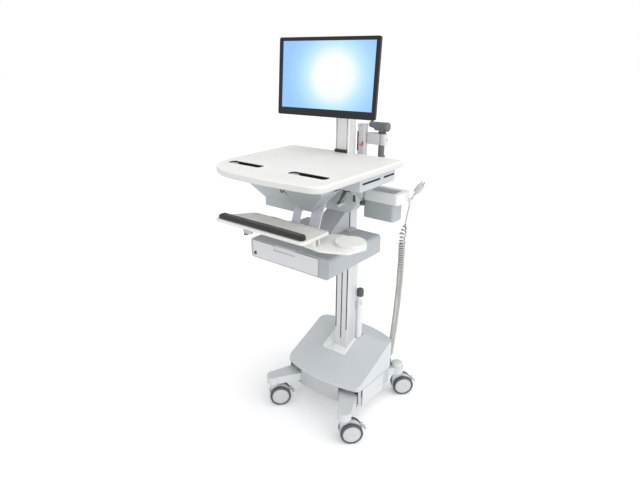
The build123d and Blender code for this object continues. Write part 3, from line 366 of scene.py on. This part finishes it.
FINISHES = {
    worktop_white: ["worktop"],
    tray_white: ["keyboard_tray", "mouse_tray"],
    cool_grey: ["base_cover"],
    skirt_grey: ["base_skirt"],
    bay_grey: ["tech_bay"],
    yoke_grey: ["head_frame"],
    clamp_white: ["handle_bracket"],
    tub_grey: ["under_cover"],
    bin_grey: ["storage_bin", "drawer_box"],
    rim_grey: ["bin_rim"],
    case_black: ["battery_pack", "power_module", "column_guides", "cord_gland"],
    gap_shade_black: ["grip_liners"],
    near_white: ["column_foot_plate"],
    plug_grey: ["power_plug"],
    lever_grey: ["release_levers"],
    display_back: ["monitor_shell"],
    gloss_black: ["monitor_bezel"],
    screen_picture: ["screen_panel"],
    drawer_paint: ["drawer_housing"],
    drawer_face: ["drawer_front"],
    frame_paint: ["base_frame"],
    lavender_paint: ["tray_arms"],
    hanger_grey: ["drawer_hanger"],
    mount_paint: ["mast_carriage", "pan_yoke", "tilt_block", "mount_plate"],
    column_metal: ["column_outer"],
    duct_plastic: ["rear_duct"],
    door_white: ["battery_door"],
    inner_metal: ["inner_column"],
    mast_metal: ["mast"],
    steel: ["lift_cylinder", "lift_rod"],
    lock_metal: ["drawer_lock"],
    grip_rubber: ["rear_handle"],
}
for corner in ("fl", "fr", "rl", "rr"):
    FINISHES.setdefault(caster_grey, []).extend([f"caster_{corner}_housing", f"caster_{corner}_hubs"])
    FINISHES.setdefault(tyre_rubber, []).append(f"caster_{corner}_tyres")
    FINISHES.setdefault(pedal_grey, []).append(f"caster_{corner}_pedal")
for finish, names in FINISHES.items():
    for name in names:
        nodes[name].data.materials.clear()
        nodes[name].data.materials.append(finish)


# ------------------------------------------------------------------ ways to make pieces
def piece(name, mesh, finish, body, smooth=True):
    """Puts a finished mesh in the scene, riding on a CAD body."""
    made = bpy.data.objects.new(name, mesh)
    bpy.context.scene.collection.objects.link(made)
    mesh.materials.append(finish)
    if smooth:
        mesh.shade_smooth()
    if body:
        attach(made, body)
    return made


def mesh_of(bm, name):
    bmesh.ops.recalc_face_normals(bm, faces=bm.faces)
    mesh = bpy.data.meshes.new(name)
    bm.to_mesh(mesh)
    bm.free()
    return mesh


def frames_along(points):
    """A steady pair of side directions at each point of a line."""
    sides = []
    ahead = (points[1] - points[0]).normalized()
    side = ahead.orthogonal().normalized()
    for k in range(len(points)):
        before = points[max(k - 1, 0)]
        after = points[min(k + 1, len(points) - 1)]
        new_ahead = (after - before).normalized()
        side = (ahead.rotation_difference(new_ahead) @ side)
        side = (side - side.dot(new_ahead) * new_ahead).normalized()
        ahead = new_ahead
        sides.append((side, ahead.cross(side)))
    return sides


def tube_mesh(name, points, radius, around=10):
    """A closed round tube along points."""
    bm = bmesh.new()
    rings = []
    for point, (side, other) in zip(points, frames_along(points)):
        ring = []
        for k in range(around):
            turn = 2 * pi * k / around
            ring.append(bm.verts.new(point + radius * (cos(turn) * side + sin(turn) * other)))
        rings.append(ring)
    for ring, following in zip(rings, rings[1:]):
        for k in range(around):
            n = (k + 1) % around
            bm.faces.new((ring[k], ring[n], following[n], following[k]))
    bm.faces.new(reversed(rings[0]))
    bm.faces.new(rings[-1])
    return mesh_of(bm, name)


# ------------------------------------------------------------------ power cord
GLAND_EXIT = (166.0, 211.0, 178.0)
COIL_ROUTE = [
    (166.0, 211.0, 196.0), (168.0, 210.5, 222.0), (192.0, 190.0, 371.0), (219.0, 160.0, 586.0),
    (232.0, 138.0, 730.0), (240.0, 118.0, 857.0), (250.0, 113.0, 903.0),
]
LEAD_ROUTE = [
    (256.2, 109.9, 931.5), (262.5, 104.5, 961.0), (270.0, 99.0, 989.0),
    (276.5, 96.0, 1016.0), (281.0, 95.0, 1036.0), (291.0, 95.0, 1052.0),
]
CORD_R = 0.0035
COIL_MEAN_R = 0.0113
COIL_START, COIL_FULL = 0.012, 0.034       # along the route: the turns begin, and reach full size
COIL_TIGHT, COIL_END = 0.655, 0.757        # the tight turns end, and the loose ones
PITCH, LOOSE_PITCH = 0.0118, 0.0180


def route_line(points, name):
    """Points read from a smooth curve whose control points are the route's."""
    curve = bpy.data.curves.new(name, "CURVE")
    curve.dimensions = "3D"
    curve.resolution_u = 40
    spline = curve.splines.new("NURBS")
    spline.points.add(len(points) - 1)
    for control, point in zip(spline.points, points):
        control.co = (*at(*point), 1)
    spline.order_u = 3
    spline.use_endpoint_u = True
    made = bpy.data.objects.new(name, curve)
    bpy.context.scene.collection.objects.link(made)
    bpy.context.view_layer.update()
    mesh = bpy.data.meshes.new_from_object(made)
    line = [v.co.copy() for v in mesh.vertices]
    bpy.data.objects.remove(made)
    bpy.data.meshes.remove(mesh)
    return line


def evenly(line, step):
    """The line again, with points a fixed step apart."""
    out = [line[0].copy()]
    gap = 0.0
    for a, b in zip(line, line[1:]):
        length = (b - a).length
        place = step - gap
        while place <= length:
            out.append(a.lerp(b, place / length))
            place += step
        gap = (gap + length) % step
    if (out[-1] - line[-1]).length > step / 3:
        out.append(line[-1].copy())
    return out


def eased(value, low, high):
    t = min(1.0, max(0.0, (value - low) / (high - low)))
    return t * t * (3 - 2 * t)


STEP = 0.0004
cord_middle = evenly(route_line([GLAND_EXIT] + COIL_ROUTE + LEAD_ROUTE, "cord_route"), STEP)


def shade_inner_side(mesh):
    """Marks how far each point is from the coil's middle, for the painted shade on the jacket's inner
    side.
    """
    tree = kdtree.KDTree(len(cord_middle))
    for k, point in enumerate(cord_middle):
        tree.insert(point, k)
    tree.balance()
    marks = mesh.attributes.new("outward", "FLOAT", "POINT")
    for vertex, mark in zip(mesh.vertices, marks.data):
        point, k, away = tree.find(vertex.co)
        inner = COIL_START < k * STEP < COIL_END
        mark.value = eased(away, COIL_MEAN_R - CORD_R, COIL_MEAN_R + 0.6 * CORD_R) if inner else 1.0


def curly_line():
    middle = cord_middle
    turn = 0.0
    out = []
    for k, (point, (side, other)) in enumerate(zip(middle, frames_along(middle))):
        along = k * STEP
        loose = eased(along, COIL_TIGHT, COIL_TIGHT + 0.012)
        pitch = PITCH + (LOOSE_PITCH - PITCH) * loose
        wobble = 1 + 0.16 * loose * sin(turn * 0.37) + 0.03 * sin(along * 41)
        size = eased(along, COIL_START, COIL_FULL) * (1 - eased(along, COIL_END - 0.03, COIL_END))
        radius = COIL_MEAN_R * size * wobble
        out.append(point + radius * (cos(turn) * side + sin(turn) * other))
        turn += 2 * pi * STEP / pitch * (1 if COIL_START < along < COIL_END else 0)
    return evenly(out, 0.0026)


cord_line = curly_line()
cord_mesh = tube_mesh("power_cord", cord_line, CORD_R)
shade_inner_side(cord_mesh)
power_cord = piece("power_cord", cord_mesh, cord_jacket, None)
cord_length = sum((b - a).length for a, b in zip(cord_line, cord_line[1:]))
print(f"cord: {cord_length:.3f} m")
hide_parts("cord_coil", "cord_lead")
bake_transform(power_cord)


# ------------------------------------------------------------------ palm rest
PALM_HALF, PALM_DEPTH, PALM_HEIGHT = 207.0, 17.0, 19.0
PALM_Y = -494.0
TRAY_TOP = 1010.0


def palm_rest():
    """A firm foam bar under a knitted skin, crowned on top and pulled in along its foot."""
    across, along = 20, 90
    bm = bmesh.new()
    rings = []
    for i in range(along + 1):
        s = -1 + 2 * i / along
        x = PALM_HALF * sin(s * pi / 2) * 0.25 + PALM_HALF * s * 0.75
        end = max(0.0, (abs(x) - (PALM_HALF - PALM_DEPTH)) / PALM_DEPTH)
        width = PALM_DEPTH * max(0.02, (1 - end ** 2.4)) ** (1 / 2.4)
        tall = PALM_HEIGHT * max(0.05, 1 - 0.55 * end ** 2.2)
        ring = []
        for j in range(across):
            turn = 2 * pi * j / across
            c, d = cos(turn), sin(turn)
            y = width * (abs(c) ** 0.62) * (1 if c > 0 else -1)
            z = tall / 2 * (abs(d) ** (0.75 if d > 0 else 0.35)) * (1 if d > 0 else -1)
            dip = 0.35 * sin(x * 0.021) + 0.25 * sin(x * 0.057 + 1) if d > 0.2 else 0
            ring.append(bm.verts.new(at(x, PALM_Y + y, TRAY_TOP + tall / 2 + z + dip)))
        rings.append(ring)
    for ring, following in zip(rings, rings[1:]):
        for j in range(across):
            n = (j + 1) % across
            bm.faces.new((ring[j], ring[n], following[n], following[j]))
    bm.faces.new(rings[0])
    bm.faces.new(reversed(rings[-1]))
    made = piece("palm_rest_pad", mesh_of(bm, "palm_rest_pad"), palm_skin, "keyboard")
    smooth = made.modifiers.new("smooth", "SUBSURF")
    smooth.levels = smooth.render_levels = 1
    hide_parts("palm_rest")


palm_rest()


# ------------------------------------------------------------------ small parts
def soft_block(name, x, y, z, finish, body, bevel=1.0, place=None):
    """A box with every edge rounded, from three (low, high) pairs in millimetres."""
    bm = bmesh.new()
    bmesh.ops.create_cube(bm, size=1.0)
    for v in bm.verts:
        v.co = Vector([
            (low + high) / 2 + side * (high - low)
            for side, (low, high) in zip(v.co, (x, y, z))
        ])
    bmesh.ops.bevel(bm, geom=bm.edges[:], offset=bevel, segments=3, profile=0.5, affect="EDGES")
    for v in bm.verts:
        v.co = at(*(place @ v.co if place else v.co))
    return piece(name, mesh_of(bm, name), finish, body)


def turned(name, foot, toward, profile, finish, body, around=28):
    """A solid of revolution in millimetres: each profile point is (radius, way along the axis)."""
    axis = Vector(toward).normalized()
    side = axis.orthogonal().normalized()
    other = axis.cross(side)
    bm = bmesh.new()
    rings = []
    for radius, along in profile:
        ring = []
        for k in range(around):
            angle = 2 * pi * k / around
            outward = cos(angle) * side + sin(angle) * other
            spot = Vector(foot) + along * axis + max(radius, 0.01) * outward
            ring.append(bm.verts.new(at(*spot)))
        rings.append(ring)
    for ring, following in zip(rings, rings[1:]):
        for k in range(around):
            n = (k + 1) % around
            bm.faces.new((ring[k], ring[n], following[n], following[k]))
    bm.faces.new(rings[0])
    bm.faces.new(rings[-1])
    return piece(name, mesh_of(bm, name), finish, body)


def screw(name, foot, toward, radius, body, finish=None):
    """A pan-head screw with a round driver socket."""
    r = radius
    profile = [
        (r * 0.9, -0.6), (r, 0), (r, 0.25 * r), (0.93 * r, 0.42 * r), (0.72 * r, 0.55 * r),
        (0.45 * r, 0.6 * r), (0.42 * r, 0.57 * r), (0.40 * r, 0.1 * r), (0.05 * r, 0.08 * r),
    ]
    return turned(name, foot, toward, profile, finish or zinc, body)


def rounded_line(points, step=4.0):
    """Points along a smooth curve guided by a few millimetre points."""
    return evenly(route_line(points, "guide"), step / 1000)


CASTER_TURN = 46.0                         # degrees, every caster's turn at rest
TRAIL = 30.0                               # the axle's distance from the stem
WHEEL_R = 50.0
HUB_FACE = 30.0                            # the hub's outer face, from the pair's middle
STEM_X = 205.0
STEM_Y = {-1: 226.0, 1: 218.0}             # front and rear


def caster_details():
    """A dished cover on each side of each wheel pair."""
    dish = [
        (38.6, -0.6), (38.6, 0.4), (37.4, 1.0), (33.6, 1.1), (32.6, 0.2), (31.8, 0.2), (30.6, 1.2),
        (24.0, 1.9), (12.0, 2.3), (10.4, 2.1), (9.8, 1.2), (8.8, 1.1), (7.6, 1.9), (3.0, 2.2), (0.0, 2.2),
    ]
    for corner, (sx, sy) in {"fl": (-1, -1), "fr": (1, -1), "rl": (-1, 1), "rr": (1, 1)}.items():
        angle = radians(CASTER_TURN)
        hub = Vector((sx * STEM_X + TRAIL * cos(angle), sy * STEM_Y[sy] + TRAIL * sin(angle), WHEEL_R))
        axle = Vector((-sin(angle), cos(angle), 0))
        for label, side in (("in", 1), ("out", -1)):
            foot = hub + side * HUB_FACE * axle
            turned(f"wheel_cover_{corner}_{label}", foot, side * axle, dish, hub_white, f"wheels_{corner}",
                   48)


caster_details()


COVER_SLOPE = atan2(316.0 - 207.0, 132.0 + 117.0)
FOOT_MARKS_AT = (-18.0, 44.0, 207.4 + tan(COVER_SLOPE) * 161.0)
SLOT_TOP = 685.0
SLOTS = ((-29.0, 368.0), (0.0, 319.0), (29.0, 368.0))     # x and lower end of each column slot


def base_details():
    """Stem domes, brushes in the column's slots, the duct's cap, and the marks on the foot plate."""
    for label, side in (("l", -1), ("r", 1)):
        turned(f"stem_dome_{label}", (side * STEM_X, STEM_Y[1], 155.6), (0, 0, 1),
               [(29.6, -0.6), (29.6, 6), (28.4, 11.5), (25.0, 15.8), (19.0, 18.6), (10.0, 19.8), (0, 20)],
               frame_paint, "base", 40)
    for k, (x, low) in enumerate(SLOTS):
        soft_block(f"slot_brush_{k}", (x - 2.9, x + 2.9), (28.2, 30.6), (low + 0.6, SLOT_TOP), charcoal,
                   "base", 0.6)
    turned("duct_cap", (44, 115, 521), (0, 0, 1),
           [(15.2, 0), (16.4, 1.5), (16.4, 9), (15.8, 10.5), (16.6, 12), (16.6, 29), (15.4, 34),
            (11.0, 37.4), (3, 38.6), (0, 38.6)], knob_grey, "base", 36)
    soft_block("column_label", (37.3, 38.0), (82, 97), (456, 502), label_blue, "base",
               0.25)
    soft_block("skirt_catch", (199.8, 201.9), (-92, -87.5), (142, 181), charcoal, "base",
               0.6)
    # a triangle and a bar, moulded lightly into the plate at the column's foot
    lean = Matrix.Translation(FOOT_MARKS_AT) @ Matrix.Rotation(COVER_SLOPE, 4, "X")
    corners = [Vector((-30, -33, 5.2)), Vector((-8, -33, 5.2)), Vector((-19, -13, 5.2))]
    outline = [lean @ corners[k % 3].lerp(corners[(k + 1) % 3], t) for k in range(3) for t in (0.06, 0.94)]
    ring = [at(*p) for p in outline + outline[:1]]
    piece("foot_mark_triangle", tube_mesh("foot_mark_triangle", ring, 0.0009, 8), mark_grey, "base")
    soft_block("foot_mark_bar", (-40, 4), (-46, -43.5), (4.6, 5.5), mark_grey, "base", 0.3,
               lean)


base_details()


STRUT_TOP = Vector((121, -122, 1108))
STRUT_FOOT = Vector((42, -74, 1012))


def head_details():
    """Trim on the mast, post and grip, the gas strut, screws, dark strips of painted shade in the bay's
    and the hanger's gaps, and the cable hook.
    """
    soft_block("mast_shoe", (-31, 31), (-7.2, 0.4), (1207.2, 1219.5), charcoal, "head", 1.6)
    soft_block("mast_cap", (-35, 35), (-1, 55), (1557.5, 1563.5), mount_paint, "head", 2.2)
    soft_block("post_strip", (29.6, 35.6), (66.6, 68.6), (1209, 1288), charcoal, "head", 0.5)
    soft_block("post_cap", (29.2, 62.8), (67.2, 99.8), (1313.5, 1318.5), clamp_white, "head",
               1.6)
    rod_line = rounded_line([(60, 80.5, 1236), (60, 80.5, 1260), (60, 80.5, 1290), (60, 80.5, 1312)])
    piece("post_rod", tube_mesh("post_rod", rod_line, 0.0021), grip_rubber, "head")
    soft_block("release_tab", (43, 62), (62.5, 68.5), (1231, 1240), tab_orange, "head", 1.8)
    turned("release_tab_pin", (58, 65, 1239), (0, 0, 1), [(2.6, 0), (2.6, 9), (1.8, 11), (0, 11)], tab_red,
           "head")
    # grip on the riser: ribbed end and a collar
    turned("grip_end", (156, 97, 1311), (1, 0, 0),
           [(17.6, -10), (18.6, -9), (18.6, -3), (17.4, 2.0), (12, 4.6), (0, 5.2)], grip_rubber, "head",
           36)
    turned("riser_collar", (129, 97, 1284), (0, 0, 1),
           [(14.0, -1.2), (15.6, 0), (15.6, 6), (14.4, 8), (13.0, 8.4)], knob_grey, "head",
           32)
    screw("clamp_screw", (152.0, 99, 1260), (1, 0, 0), 4.2, "head")
    # gas strut beside the keyboard arm, and the two dark fixings on the yoke
    down = (STRUT_FOOT - STRUT_TOP).normalized()
    turned("strut_sleeve", STRUT_TOP, down, [(4, -2), (7.2, 0), (7.6, 4), (7.6, 78), (6.8, 81), (3.2, 82)],
           strut_grey, "head")
    turned("strut_rod", STRUT_TOP + 76 * down, down, [(4.4, 0), (4.4, 40), (6.0, 41), (6.0, 56), (3, 58)],
           strut_grey, "head")
    soft_block("strut_foot", (30, 48), (-80, -33), (998, 1011), yoke_grey, "head", 2.5)
    # the dark bracket on the bay's front that the strut hangs from
    soft_block("strut_bracket", (163, 199), (-222.5, -216.5), (1117, 1141), charcoal, "head",
               1.2)
    soft_block("yoke_pad", (88, 98), (-38, -33), (1020, 1048), knob_grey, "head", 2.0)
    turned("yoke_knob", (104, -6, 1012), (1, 0, 0),
           [(7.5, 0), (8.6, 1.5), (8.6, 6), (10.2, 7), (10.2, 15), (9.0, 17), (3, 18), (0, 18)], knob_grey,
           "head")
    # screws on the hood and on the drawer's sides
    hood_out = (0, -0.817, -0.576)
    screw("hood_screw", (44, -266.7, 1055.2), hood_out, 4.2, "head")
    for k, y in enumerate((-14, -330)):
        screw(f"drawer_side_screw_{k}", (198, y, 846), (1, 0, 0), 3.6, "head")
        screw(f"drawer_left_screw_{k}", (-198, y, 846), (-1, 0, 0), 3.6, "head")
    # painted shade: dark strips along the equipment bay for the shadow in its gap under the worktop, and
    # the hook under the worktop
    for label, side in (("right", 1), ("left", -1)):
        x = sorted((side * 241.6, side * 242.5))
        soft_block(f"bay_gap_shade_{label}", x, (-219, 17), (1166, 1168.4), knob_grey, "head", 0.3)
        # near-black sheets behind the bay's slots: painted shade of the bay's hollow inside
        for k, (front, back) in enumerate(((-208, -87), (-64, 14))):
            inner = sorted((side * 238.2, side * 240.6))
            soft_block(f"bay_slot_shade_{label}_{k}", inner, (front + 0.2, back - 0.2), (1146.2, 1153.8),
                       gap_shade_black, "head", 0.5)
    hook = rounded_line([(-38, -336, 1158), (-38, -336, 1126), (-38, -338, 1110), (-30, -340, 1103),
                         (-22, -340, 1108), (-21, -340, 1116)])
    piece("cable_hook", tube_mesh("cable_hook", hook, 0.0024), knob_grey, "head")
    soft_block("cable_hook_foot", (-46, -30), (-343, -329), (1150, 1181.5), knob_grey, "head",
               2.0)
    # painted shade: a dark strip for the shadow gap down the hanger's right side, at its back
    soft_block("hanger_gap_shade", (47.4, 49.0), (-1, 6), (889, 964), knob_grey, "head", 0.6)


head_details()


TILT_Y, TILT_Z, PAN_Y = -43.0, 1517.0, -24.0
REST_PAN, REST_TILT = 5.2, -4.3            # degrees, how the display is turned at rest


def display_details():
    """Screws, vents and a blank rating plate on the display's back, in the display's own tilt."""
    place = Matrix.Translation((0, PAN_Y, 0)) @ Matrix.Rotation(radians(REST_PAN), 4, "Z")
    place = place @ Matrix.Translation((0, TILT_Y - PAN_Y, TILT_Z))
    place = place @ Matrix.Rotation(radians(REST_TILT), 4, "X")
    place = place @ Matrix.Translation((0, -TILT_Y, -TILT_Z))
    outward = place.to_3x3() @ Vector((0, 1, 0))
    for k, (x, z) in enumerate(((-54, 1473), (46, 1473), (-54, 1573), (46, 1573))):
        screw(f"plate_screw_{k}", place @ Vector((x, -56, z)), outward, 4.0, "display")
    for row, foot in (("top", 1584), ("bottom", 1392)):
        for k in range(5):
            low = foot + 5.0 * k
            soft_block(f"shell_vent_{row}_{k}", (-112, 88), (-75.5, -73.7), (low, low + 2.0), charcoal,
                       "display", 0.4, place)
    soft_block("rating_plate", (60, 120), (-60.6, -59.7), (1450, 1480), mark_grey, "display",
               0.3, place)


display_details()


def tray_details():
    """The keyboard tray's latch and bumpers, and a raised rim round the mouse tray's disc."""
    soft_block("tray_latch", (-60, -26), (-520.5, -500), (985, 999.5), pedal_grey, "keyboard",
               3.5)
    soft_block("tray_latch_tip", (-56, -42), (-521.5, -508), (979.5, 986.5), knob_grey, "keyboard",
               2.5)
    for k, x in enumerate((-120, 120)):
        turned(f"tray_bumper_{k}", (x, -400, 998.4), (0, 0, -1), [(7, 0), (7, 2.2), (5.6, 3.4), (0, 3.6)],
               grip_rubber, "keyboard")
    turned("mouse_pad_ring", (285, -339, 980.4), (0, 0, 1),
           [(54.8, -0.4), (54.8, 0.9), (54.0, 1.5), (51.6, 1.5), (50.8, 0.9), (49, 0.7), (0, 0.7)],
           tray_white, "mouse", 64)


tray_details()


# ------------------------------------------------------------------ floor and light
def plane(name, size, place, turn=(0, 0, 0)):
    mesh = bpy.data.meshes.new(name)
    h = size / 2
    mesh.from_pydata([(-h, -h, 0), (h, -h, 0), (h, h, 0), (-h, h, 0)], [], [(0, 1, 2, 3)])
    made = bpy.data.objects.new(name, mesh)
    made.location = place
    made.rotation_euler = turn
    bpy.context.scene.collection.objects.link(made)
    return made


def make_floor():
    floor = plane("floor", 60, (0, 0, -0.0005))
    s = Shader("floor_white", (0.93, 0.93, 0.935), 0.9)
    s.put("Specular IOR Level", 0.1)
    s.put("Emission Color", (1.0, 1.0, 1.0, 1))
    s.put("Emission Strength", 0.13)
    floor.data.materials.append(s.material)


def sun(name, toward, power, softness):
    """Light from far away, coming from the direction `toward`."""
    data = bpy.data.lights.new(name, "SUN")
    data.energy = power
    data.angle = radians(softness)
    made = bpy.data.objects.new(name, data)
    made.rotation_mode = "QUATERNION"
    made.rotation_quaternion = Vector(toward).to_track_quat("Z", "Y")
    made.location = Vector(toward) * 4
    bpy.context.scene.collection.objects.link(made)


def make_light():
    """A white room: bright all round at the horizon, dimmer overhead, and a wide soft key."""
    world = bpy.data.worlds.new("world")
    bpy.context.scene.world = world
    world.use_nodes = True
    tree = world.node_tree
    back = tree.nodes["Background"]
    place = tree.nodes.new("ShaderNodeTexCoord")
    parts = tree.nodes.new("ShaderNodeSeparateXYZ")
    height = tree.nodes.new("ShaderNodeMapRange")
    height.interpolation_type = "SMOOTHSTEP"
    height.inputs["From Min"].default_value = 0.12
    height.inputs["From Max"].default_value = 0.50
    height.inputs["To Min"].default_value = 1.0
    height.inputs["To Max"].default_value = 0.44
    tree.links.new(place.outputs["Generated"], parts.inputs["Vector"])
    tree.links.new(parts.outputs["Z"], height.inputs["Value"])
    tree.links.new(height.outputs["Result"], back.inputs["Strength"])
    back.inputs["Color"].default_value = (1.0, 1.0, 1.0, 1)
    sun("key", (0.62, -0.16, 0.77), 2.45, 100)
    bpy.context.scene.view_settings.view_transform = "Standard"


make_floor()
make_light()
